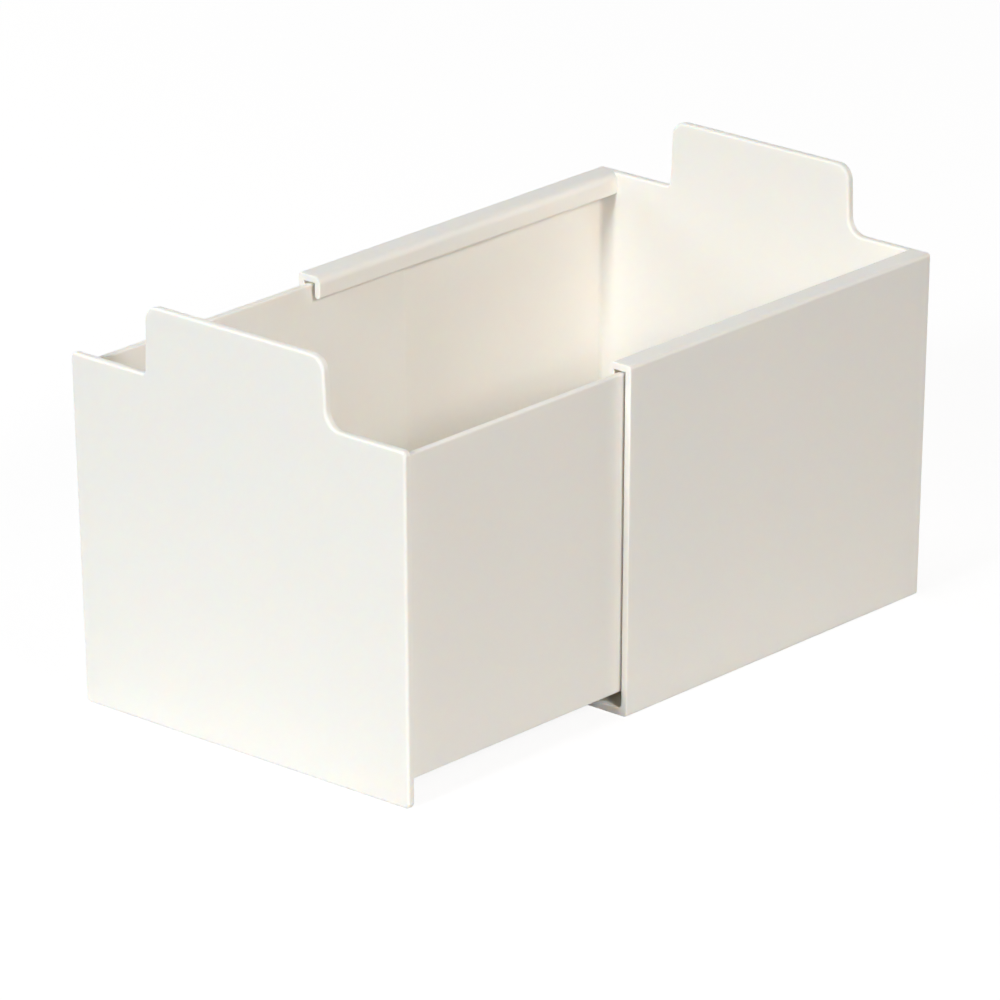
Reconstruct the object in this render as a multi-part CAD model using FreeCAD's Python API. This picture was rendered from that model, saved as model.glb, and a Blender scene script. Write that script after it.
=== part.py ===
import FreeCAD
import Part
import math
import os

# Storage box for a drawer, made of two moulded halves. An open-ended tray slides inside an
# outer half, and each half carries one end panel with a raised grip tab.
# Sizes are in millimetres. X runs along the slide, Y across the box, Z up from the drawer floor.

# Overall sizes
BOX_LENGTH = 215.2        # panel to panel at shoulder height, half-open as photographed
HALF_LENGTH = 126.5       # each half, from its panel to its open end
BOX_WIDTH = 120.0
SHOULDER_HEIGHT = 100.0
TAB_RISE = 19.5           # grip tab above the shoulders

# Moulding draft, measured from the shoulders down to the foot
SIDE_DRAFT = 1.28         # each side is this much narrower at the bottom
PANEL_LEAN = 2.0          # each end panel's foot stands this far inward

# Wall thicknesses
PANEL_THICKNESS = 2.6
WALL_THICKNESS = 2.0
OUTER_FLOOR = 2.2
TRAY_FLOOR = 2.0

# Grip tab
TAB_ROOT_HALF = 32.6
TAB_TOP_HALF = 31.85
TAB_CORNER_RADIUS = 4.5
TAB_ROOT_RADIUS_NEAR = 5.0
TAB_ROOT_RADIUS_FAR = 1.2

# Rounded edges
PANEL_CORNER_RADIUS = 1.6  # front panel's four outer corners
LONG_EDGE_RADIUS = 1.0     # outer half's long edges, top and bottom
PANEL_EDGE_RADIUS = 0.8
FLOOR_CORNER_RADIUS = 1.2  # inside, where the side walls meet the floor
PANEL_JOIN_RADIUS = 1.0    # inside, where walls and floor meet the end panel
TRAY_BOTTOM_RADIUS = 0.8
RIM_RADIUS = 0.5
OPEN_END_RADIUS = 0.3

# Rolled lip along the top of both outer side walls
LIP_WIDTH = 8.0
LIP_THICKNESS = 2.1
HOOK_THICKNESS = 2.0
HOOK_DROP = 6.5           # from shoulder height to the rounded end of the hook
LIP_INNER_RADIUS = 2.3

# Runners under the tray
RUNNER_OFFSET = 30.0      # middle of each runner from the centre line
RUNNER_THICKNESS = 2.0
RUNNER_NOSE_RADIUS = 2.5
RUNNER_SETBACK = 2.0      # from the tray's open end
TRAY_RAISE = 4.3          # tray underside above the top of the outer floor

# Clearances between the two halves
SIDE_CLEARANCE = 0.75     # tray wall to outer wall
RIM_CLEARANCE = 0.5       # tray rim to the underside of the lip
RUNNER_CLEARANCE = 0.3    # runner to outer floor

# How far the cutting shapes reach beyond the material, and how deep joined shapes start in it
REACH = 5.0
PANEL_BITE = 2.3
FLOOR_BITE = 1.0

# Two places this close together count as touching
ON_SURFACE = 1e-4

HALF_WIDTH = BOX_WIDTH / 2
TAB_TOP = SHOULDER_HEIGHT + TAB_RISE
REAR_X = BOX_LENGTH / 2
FRONT_X = -REAR_X
MOUTH_X = REAR_X - HALF_LENGTH
TRAY_END_X = FRONT_X + HALF_LENGTH
SLOT_TOP = SHOULDER_HEIGHT - LIP_THICKNESS
HOOK_END = SHOULDER_HEIGHT - HOOK_DROP
HOOK_INNER = HALF_WIDTH - LIP_WIDTH
HOOK_OUTER = HOOK_INNER + HOOK_THICKNESS
TRAY_BOTTOM = OUTER_FLOOR + TRAY_RAISE
TRAY_FLOOR_TOP = TRAY_BOTTOM + TRAY_FLOOR
TRAY_RIM = SLOT_TOP - RIM_CLEARANCE
TRAY_INSET = WALL_THICKNESS + SIDE_CLEARANCE
TRAY_INNER_INSET = TRAY_INSET + WALL_THICKNESS

os.makedirs("parts", exist_ok=True)


def point(x, y, z):
    return FreeCAD.Vector(x, y, z)


def half_width_at(height, inset):
    """Half the drafted width at a height, measured inward by the inset."""
    return HALF_WIDTH - SIDE_DRAFT * (1 - height / SHOULDER_HEIGHT) - inset


def lean_at(height):
    """How far inward an end panel's face stands at a height."""
    return PANEL_LEAN * (1 - height / SHOULDER_HEIGHT)


def rounded_face(corners):
    """Flat face whose outline passes the corners, each rounded by its own radius."""
    count = len(corners)
    stops = []
    arcs = []
    for index in range(count):
        corner, radius = corners[index]
        before = corners[index - 1][0]
        after = corners[(index + 1) % count][0]
        if radius == 0:
            stops.append((corner, corner))
            arcs.append(None)
            continue
        back = (before - corner).normalize()
        ahead = (after - corner).normalize()
        half_angle = back.getAngle(ahead) / 2
        start = corner + back * (radius / math.tan(half_angle))
        end = corner + ahead * (radius / math.tan(half_angle))
        bisector = (back + ahead).normalize()
        middle = corner + bisector * (radius / math.sin(half_angle) - radius)
        stops.append((start, end))
        arcs.append(Part.Arc(start, middle, end).toShape())
    edges = []
    for index in range(count):
        if arcs[index] is not None:
            edges.append(arcs[index])
        start = stops[index][1]
        end = stops[(index + 1) % count][0]
        if start.distanceToPoint(end) > Part.Precision.confusion():
            edges.append(Part.makeLine(start, end))
    return Part.Face(Part.Wire(edges))


def end_body(x_from, x_to, corner_radius):
    """The outline of an end panel seen along the slide, drawn out along X."""
    foot = half_width_at(0, 0)
    face = rounded_face([
        (point(x_from, -foot, 0), corner_radius),
        (point(x_from, foot, 0), corner_radius),
        (point(x_from, HALF_WIDTH, SHOULDER_HEIGHT), corner_radius),
        (point(x_from, TAB_ROOT_HALF, SHOULDER_HEIGHT), TAB_ROOT_RADIUS_FAR),
        (point(x_from, TAB_TOP_HALF, TAB_TOP), TAB_CORNER_RADIUS),
        (point(x_from, -TAB_TOP_HALF, TAB_TOP), TAB_CORNER_RADIUS),
        (point(x_from, -TAB_ROOT_HALF, SHOULDER_HEIGHT), TAB_ROOT_RADIUS_NEAR),
        (point(x_from, -HALF_WIDTH, SHOULDER_HEIGHT), corner_radius),
    ])
    return face.extrude(point(x_to - x_from, 0, 0))


def side_body(outline):
    """An outline seen from the side, drawn out across more than the full width."""
    side_y = HALF_WIDTH + REACH
    face = rounded_face([(point(x, -side_y, z), 0) for x, z in outline])
    return face.extrude(point(0, 2 * side_y, 0))


def mirrored_outline(x, right_side):
    """Corners up the right side, given as Y, Z and radius, then down the left side."""
    right = [(point(x, y, z), radius) for y, z, radius in right_side]
    left = [(point(x, -y, z), radius) for y, z, radius in reversed(right_side)]
    return rounded_face(right + left)


def edges_on(shape, gap_at):
    """Edges whose ends and middle all have no gap to the wanted surface."""
    found = []
    for edge in shape.Edges:
        middle = edge.valueAt((edge.FirstParameter + edge.LastParameter) / 2)
        places = [vertex.Point for vertex in edge.Vertexes] + [middle]
        if max(abs(gap_at(place)) for place in places) < ON_SURFACE:
            found.append(edge)
    return found


def make_outer_half():
    """Floor, two side walls with rolled lips, and the rear panel with its tab."""
    inner_x = REAR_X - PANEL_THICKNESS

    def gap_to_rear_face(place):
        return place.x - REAR_X + lean_at(place.z)

    def gap_to_inner_face(place):
        return place.x - inner_x + lean_at(place.z)

    block = end_body(MOUTH_X, REAR_X + REACH, LONG_EDGE_RADIUS).common(side_body([
        (MOUTH_X, 0),
        (REAR_X - lean_at(0), 0),
        (REAR_X - lean_at(TAB_TOP), TAB_TOP),
        (inner_x - lean_at(TAB_TOP), TAB_TOP),
        (inner_x, SHOULDER_HEIGHT),
        (MOUTH_X, SHOULDER_HEIGHT),
    ]))
    block = block.makeFillet(PANEL_EDGE_RADIUS, edges_on(block, gap_to_rear_face))

    # The space inside is wide below the lips and narrower between the hooks
    above = TAB_TOP + REACH
    start_x = MOUTH_X - REACH
    lip_flat = HOOK_INNER + LIP_INNER_RADIUS
    space = mirrored_outline(start_x, [
        (half_width_at(OUTER_FLOOR, WALL_THICKNESS), OUTER_FLOOR, FLOOR_CORNER_RADIUS),
        (half_width_at(SLOT_TOP, WALL_THICKNESS), SLOT_TOP, 0),
        (HOOK_OUTER, SLOT_TOP, 0),
        (HOOK_OUTER, HOOK_END, HOOK_THICKNESS / 2),
        (HOOK_INNER, HOOK_END, HOOK_THICKNESS / 2),
        (HOOK_INNER, SHOULDER_HEIGHT, LIP_INNER_RADIUS),
        (lip_flat, SHOULDER_HEIGHT, 0),
        (lip_flat, above, 0),
    ]).extrude(point(HALF_LENGTH + REACH, 0, 0))
    space = space.common(side_body([
        (start_x, 0),
        (inner_x - lean_at(0), 0),
        (inner_x - lean_at(above), above),
        (start_x, above),
    ]))
    deep_edges = [edge for edge in edges_on(space, gap_to_inner_face)
                  if edge.BoundBox.ZMin < HOOK_END - HOOK_THICKNESS]
    space = space.makeFillet(PANEL_JOIN_RADIUS, deep_edges)
    half = block.cut(space).removeSplitter()

    tab_edges = [edge for edge in edges_on(half, gap_to_inner_face)
                 if edge.BoundBox.ZMin > SHOULDER_HEIGHT - ON_SURFACE
                 and abs(edge.CenterOfMass.y) < TAB_ROOT_HALF]
    half = half.makeFillet(PANEL_EDGE_RADIUS, tab_edges)
    mouth_edges = edges_on(half, lambda place: place.x - MOUTH_X)
    return half.makeFillet(OPEN_END_RADIUS, mouth_edges)


def make_runner(middle_y):
    """One long rib under the tray, rounded where it enters the outer half."""
    low_y = middle_y - RUNNER_THICKNESS / 2
    low_z = OUTER_FLOOR + RUNNER_CLEARANCE
    high_z = TRAY_BOTTOM + FLOOR_BITE
    start_x = FRONT_X + PANEL_BITE
    end_x = TRAY_END_X - RUNNER_SETBACK
    outline = rounded_face([
        (point(start_x, low_y, low_z), 0),
        (point(end_x, low_y, low_z), RUNNER_NOSE_RADIUS),
        (point(end_x, low_y, high_z), 0),
        (point(start_x, low_y, high_z), 0),
    ])
    return outline.extrude(point(0, RUNNER_THICKNESS, 0))


def make_sliding_tray():
    """Open-ended tray on two runners, and the front panel with its tab."""
    inner_x = FRONT_X + PANEL_THICKNESS

    def gap_to_front_face(place):
        return place.x - FRONT_X - lean_at(place.z)

    def gap_to_inner_face(place):
        return place.x - inner_x - lean_at(place.z)

    panel = end_body(FRONT_X - REACH, inner_x + REACH, PANEL_CORNER_RADIUS).common(side_body([
        (FRONT_X + lean_at(0), 0),
        (inner_x + lean_at(0), 0),
        (inner_x + lean_at(TAB_TOP), TAB_TOP),
        (FRONT_X + lean_at(TAB_TOP), TAB_TOP),
    ]))
    face_edges = edges_on(panel, gap_to_front_face) + edges_on(panel, gap_to_inner_face)
    panel = panel.makeFillet(PANEL_EDGE_RADIUS, face_edges)

    start_x = FRONT_X + PANEL_BITE
    trough = mirrored_outline(start_x, [
        (half_width_at(TRAY_BOTTOM, TRAY_INSET), TRAY_BOTTOM, TRAY_BOTTOM_RADIUS),
        (half_width_at(TRAY_RIM, TRAY_INSET), TRAY_RIM, RIM_RADIUS),
        (half_width_at(TRAY_RIM, TRAY_INNER_INSET), TRAY_RIM, RIM_RADIUS),
        (half_width_at(TRAY_FLOOR_TOP, TRAY_INNER_INSET), TRAY_FLOOR_TOP, FLOOR_CORNER_RADIUS),
    ]).extrude(point(TRAY_END_X - start_x, 0, 0))
    end_edges = edges_on(trough, lambda place: place.x - TRAY_END_X)
    trough = trough.makeFillet(OPEN_END_RADIUS, end_edges)

    tray = panel.fuse([trough, make_runner(RUNNER_OFFSET), make_runner(-RUNNER_OFFSET)])
    tray = tray.removeSplitter()
    wall_middle = TRAY_INSET + WALL_THICKNESS / 2
    join_edges = [edge for edge in edges_on(tray, gap_to_inner_face)
                  if TRAY_BOTTOM + FLOOR_BITE < edge.BoundBox.ZMin
                  and edge.BoundBox.ZMax < TRAY_RIM
                  and abs(edge.CenterOfMass.y) < half_width_at(edge.CenterOfMass.z, wall_middle)]
    return tray.makeFillet(PANEL_JOIN_RADIUS, join_edges)


nodes = {
    "outer_half": make_outer_half(),
    "sliding_tray": make_sliding_tray(),
}
for name, shape in nodes.items():
    print(name, len(shape.Solids), "solid", round(shape.Volume / 1000, 1), "cubic centimetres")
    shape.exportStep("parts/" + name + ".step")
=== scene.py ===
"""Looks for the extendable drawer organizer: satin ivory plastic on a plain white floor.

Both moulded halves keep their solid shapes and get one procedural plastic. The rest of the
script is the studio: floor, world, four soft lamps and the camera of the photograph.
Lengths are in metres, in the frame of the solid model: X along the slide, Z up.
"""

import math

import bpy
from mathutils import Matrix, Vector

# The camera and the lamps face the middle of the box. Their azimuth and elevation are in
# degrees: azimuth 0 is on the -Y side and looks along +Y, and -90 is on the -X side.
AIM = Vector((0.0, 0.0, 0.05))

# Camera: from the front left and above
CAMERA_PLACE = (-48.35, 19.99)
CAMERA_ROLL = math.radians(-0.16)
CAMERA_DISTANCE = 2.197
SENSOR_WIDTH = 36.0                      # millimetres, as the lens
LENS = 290.5
LENS_SHIFT = (-0.00886, -0.02475)        # share of the frame's width

# Lamps: name, azimuth and elevation, width and height, power in watts and colour
LAMP_DISTANCE = 1.6
LAMPS = (
    ("left_lamp", (-88.0, 26.0), (0.2, 0.5), 15.2, (0.96, 0.98, 1.0)),
    ("front_lamp", (-17.0, 30.0), (0.3, 0.3), 13.1, (1.0, 0.94, 0.9)),
    ("back_lamp", (-172.0, 28.0), (0.6, 0.6), 11.0, (1.0, 0.98, 0.98)),
    ("right_lamp", (82.0, 12.0), (0.7, 0.7), 7.5, (1.0, 1.0, 1.0)),
)
SKY_STRENGTH = 0.02                      # faint even light from all round

# Floor: for light it is a white sheet round the box that turns to grey further out
FLOOR_SIZE = 8.0
SHEET_ALBEDO = 0.73
SHEET_RADIUS = 0.18
GREY_ALBEDO = 0.12
GREY_RADIUS = 0.45
WHITE_GLOW = 0.88                        # the camera sees the floor as plain white
SHADOW_PAINT = 0.17                      # with enough paint for the box's shadow to show

# Ivory plastic: two close tints that drift into each other across the moulding
IVORY_LIGHT = (0.96, 0.925, 0.87, 1.0)
IVORY_DEEP = (0.955, 0.915, 0.855, 1.0)
TINT_SCALE = 14.0                        # noise scales count features along a metre

# Its sheen is uneven, between these two roughnesses
SHEEN_SCALE = 55.0
SHEEN_SMOOTHEST = 0.36
SHEEN_ROUGHEST = 0.48

# Its surface has a fine grain and the slight waves of a moulding, by noise scale,
# strength and height
GRAIN = (2600.0, 0.12, 0.00002)
WAVES = (22.0, 0.25, 0.0003)

# Its body lets light in, scatters it over these depths for red, green and blue, and lets it out
PLASTIC_IOR = 1.49
GLOSS_LEVEL = 0.2
SCATTER_DEPTH = (0.0009, 0.00075, 0.0006)


def add_node(tree, kind, **settings):
    """A shader node with its properties and unlinked input values set by name."""
    node = tree.nodes.new(kind)
    for name, value in settings.items():
        if hasattr(node, name):
            setattr(node, name, value)
        else:
            node.inputs[name.replace("_", " ")].default_value = value
    return node


def empty_tree(owner):
    owner.use_nodes = True
    owner.node_tree.nodes.clear()
    return owner.node_tree


def seen_directly(tree):
    """1 for rays from the camera, in gloss or through glass, and 0 for light on the object."""
    path = add_node(tree, "ShaderNodeLightPath")
    camera_or_gloss = add_node(tree, "ShaderNodeMath", operation="MAXIMUM")
    tree.links.new(path.outputs["Is Camera Ray"], camera_or_gloss.inputs[0])
    tree.links.new(path.outputs["Is Glossy Ray"], camera_or_gloss.inputs[1])
    seen = add_node(tree, "ShaderNodeMath", operation="MAXIMUM")
    tree.links.new(camera_or_gloss.outputs[0], seen.inputs[0])
    tree.links.new(path.outputs["Is Transmission Ray"], seen.inputs[1])
    return seen.outputs[0]


def make_bump(tree, place, settings, detail, under=None):
    """Noise as fine relief, on top of the relief that is under it."""
    scale, strength, height = settings
    noise = add_node(tree, "ShaderNodeTexNoise", Scale=scale, Detail=detail)
    bump = add_node(tree, "ShaderNodeBump", Strength=strength, Distance=height)
    tree.links.new(place, noise.inputs["Vector"])
    tree.links.new(noise.outputs["Fac"], bump.inputs["Height"])
    if under:
        tree.links.new(under.outputs["Normal"], bump.inputs["Normal"])
    return bump


def make_plastic():
    """Satin moulded plastic with a drifting ivory tint, an uneven sheen and a fine grain."""
    material = bpy.data.materials.new("ivory_plastic")
    tree = empty_tree(material)
    place = add_node(tree, "ShaderNodeTexCoord").outputs["Object"]

    drift = add_node(tree, "ShaderNodeTexNoise", Scale=TINT_SCALE, Detail=3.0, Roughness=0.5)
    tint = add_node(tree, "ShaderNodeMix", data_type="RGBA")
    tint.inputs["A"].default_value = IVORY_LIGHT
    tint.inputs["B"].default_value = IVORY_DEEP
    tree.links.new(place, drift.inputs["Vector"])
    tree.links.new(drift.outputs["Fac"], tint.inputs["Factor"])

    smears = add_node(tree, "ShaderNodeTexNoise", Scale=SHEEN_SCALE, Detail=4.0, Roughness=0.6)
    sheen = add_node(tree, "ShaderNodeMapRange", From_Min=0.3, From_Max=0.7)
    sheen.inputs["To Min"].default_value = SHEEN_SMOOTHEST
    sheen.inputs["To Max"].default_value = SHEEN_ROUGHEST
    tree.links.new(place, smears.inputs["Vector"])
    tree.links.new(smears.outputs["Fac"], sheen.inputs["Value"])

    waves = make_bump(tree, place, WAVES, detail=1.0)
    grain = make_bump(tree, place, GRAIN, detail=2.0, under=waves)

    shader = add_node(tree, "ShaderNodeBsdfPrincipled")
    shader.inputs["IOR"].default_value = PLASTIC_IOR
    shader.inputs["Specular IOR Level"].default_value = GLOSS_LEVEL
    shader.inputs["Subsurface Weight"].default_value = 1.0
    shader.inputs["Subsurface Radius"].default_value = SCATTER_DEPTH
    shader.inputs["Subsurface Scale"].default_value = 1.0
    tree.links.new(tint.outputs["Result"], shader.inputs["Base Color"])
    tree.links.new(sheen.outputs["Result"], shader.inputs["Roughness"])
    tree.links.new(grain.outputs["Normal"], shader.inputs["Normal"])
    output = add_node(tree, "ShaderNodeOutputMaterial")
    tree.links.new(shader.outputs["BSDF"], output.inputs["Surface"])
    return material


def dress(node, material):
    """Gives a solid the material."""
    node.data.materials.clear()
    node.data.materials.append(material)


def make_floor():
    """A large white floor that shows a little of the box's shadow."""
    half = FLOOR_SIZE / 2
    mesh = bpy.data.meshes.new("floor")
    corners = [(-half, -half, 0), (half, -half, 0), (half, half, 0), (-half, half, 0)]
    mesh.from_pydata(corners, [], [(0, 1, 2, 3)])
    floor = bpy.data.objects.new("floor", mesh)
    bpy.context.scene.collection.objects.link(floor)

    material = bpy.data.materials.new("white_floor")
    tree = empty_tree(material)
    place = add_node(tree, "ShaderNodeTexCoord").outputs["Object"]
    distance = add_node(tree, "ShaderNodeVectorMath", operation="LENGTH")
    fade = add_node(tree, "ShaderNodeMapRange", interpolation_type="SMOOTHSTEP")
    fade.inputs["From Min"].default_value = SHEET_RADIUS
    fade.inputs["From Max"].default_value = GREY_RADIUS
    fade.inputs["To Min"].default_value = SHEET_ALBEDO
    fade.inputs["To Max"].default_value = GREY_ALBEDO
    paint = add_node(tree, "ShaderNodeBsdfDiffuse")
    tree.links.new(place, distance.inputs[0])
    tree.links.new(distance.outputs["Value"], fade.inputs["Value"])
    tree.links.new(fade.outputs["Result"], paint.inputs["Color"])
    glow = add_node(tree, "ShaderNodeEmission", Strength=WHITE_GLOW)
    shadow_paint = add_node(tree, "ShaderNodeBsdfDiffuse")
    shadow_paint.inputs["Color"].default_value = (SHADOW_PAINT, SHADOW_PAINT, SHADOW_PAINT, 1.0)
    backdrop = add_node(tree, "ShaderNodeAddShader")
    tree.links.new(glow.outputs[0], backdrop.inputs[0])
    tree.links.new(shadow_paint.outputs[0], backdrop.inputs[1])
    surface = add_node(tree, "ShaderNodeMixShader")
    tree.links.new(seen_directly(tree), surface.inputs[0])
    tree.links.new(paint.outputs[0], surface.inputs[1])
    tree.links.new(backdrop.outputs[0], surface.inputs[2])
    output = add_node(tree, "ShaderNodeOutputMaterial")
    tree.links.new(surface.outputs[0], output.inputs["Surface"])
    mesh.materials.append(material)


def make_sky():
    """Even light from all round, shown as plain white where the camera sees it."""
    world = bpy.data.worlds.new("studio")
    bpy.context.scene.world = world
    tree = empty_tree(world)
    light = add_node(tree, "ShaderNodeBackground", Strength=SKY_STRENGTH)
    light.inputs["Color"].default_value = (1.0, 1.0, 1.0, 1.0)
    white = add_node(tree, "ShaderNodeBackground", Strength=1.0)
    white.inputs["Color"].default_value = (1.0, 1.0, 1.0, 1.0)
    mix = add_node(tree, "ShaderNodeMixShader")
    tree.links.new(seen_directly(tree), mix.inputs[0])
    tree.links.new(light.outputs[0], mix.inputs[1])
    tree.links.new(white.outputs[0], mix.inputs[2])
    output = add_node(tree, "ShaderNodeOutputWorld")
    tree.links.new(mix.outputs[0], output.inputs["Surface"])


def outward(place):
    """The direction from the box to an azimuth and elevation, as a unit vector."""
    azimuth, elevation = (math.radians(angle) for angle in place)
    return Vector((
        math.sin(azimuth) * math.cos(elevation),
        -math.cos(azimuth) * math.cos(elevation),
        math.sin(elevation),
    ))


def make_lamp(name, place, size, power, colour):
    """A soft lamp that faces the middle of the box and isn't seen itself."""
    lamp = bpy.data.lights.new(name, "AREA")
    lamp.shape = "RECTANGLE"
    lamp.size, lamp.size_y = size
    lamp.energy = power
    lamp.color = colour
    holder = bpy.data.objects.new(name, lamp)
    backward = outward(place)
    holder.location = AIM + backward * LAMP_DISTANCE
    holder.rotation_euler = backward.to_track_quat("Z", "Y").to_euler()
    holder.visible_camera = False
    bpy.context.scene.collection.objects.link(holder)


def make_camera():
    """The photograph's viewpoint, as a matrix of right, up and backward directions."""
    backward = outward(CAMERA_PLACE)
    level_right = Vector((-backward.y, backward.x, 0.0)).normalized()
    level_up = backward.cross(level_right)
    right = math.cos(CAMERA_ROLL) * level_right + math.sin(CAMERA_ROLL) * level_up
    up = backward.cross(right)
    lens = bpy.data.cameras.new("camera")
    lens.sensor_fit = "HORIZONTAL"
    lens.sensor_width = SENSOR_WIDTH
    lens.lens = LENS
    lens.shift_x, lens.shift_y = LENS_SHIFT
    camera = bpy.data.objects.new("camera", lens)
    turn = Matrix((right, up, backward)).transposed().to_4x4()
    camera.matrix_world = Matrix.Translation(AIM + backward * CAMERA_DISTANCE) @ turn
    bpy.context.scene.collection.objects.link(camera)
    bpy.context.scene.camera = camera


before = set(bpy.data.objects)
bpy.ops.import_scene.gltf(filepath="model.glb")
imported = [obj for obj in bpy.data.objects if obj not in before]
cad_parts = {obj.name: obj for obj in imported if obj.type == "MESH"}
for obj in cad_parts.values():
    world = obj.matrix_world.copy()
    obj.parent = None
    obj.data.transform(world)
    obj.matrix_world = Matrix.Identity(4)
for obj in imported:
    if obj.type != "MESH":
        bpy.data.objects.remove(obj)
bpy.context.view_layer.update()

plastic = make_plastic()
for cad_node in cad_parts.values():
    dress(cad_node, plastic)

make_floor()
make_sky()
for lamp_settings in LAMPS:
    make_lamp(*lamp_settings)
make_camera()
bpy.context.scene.view_settings.view_transform = "Standard"
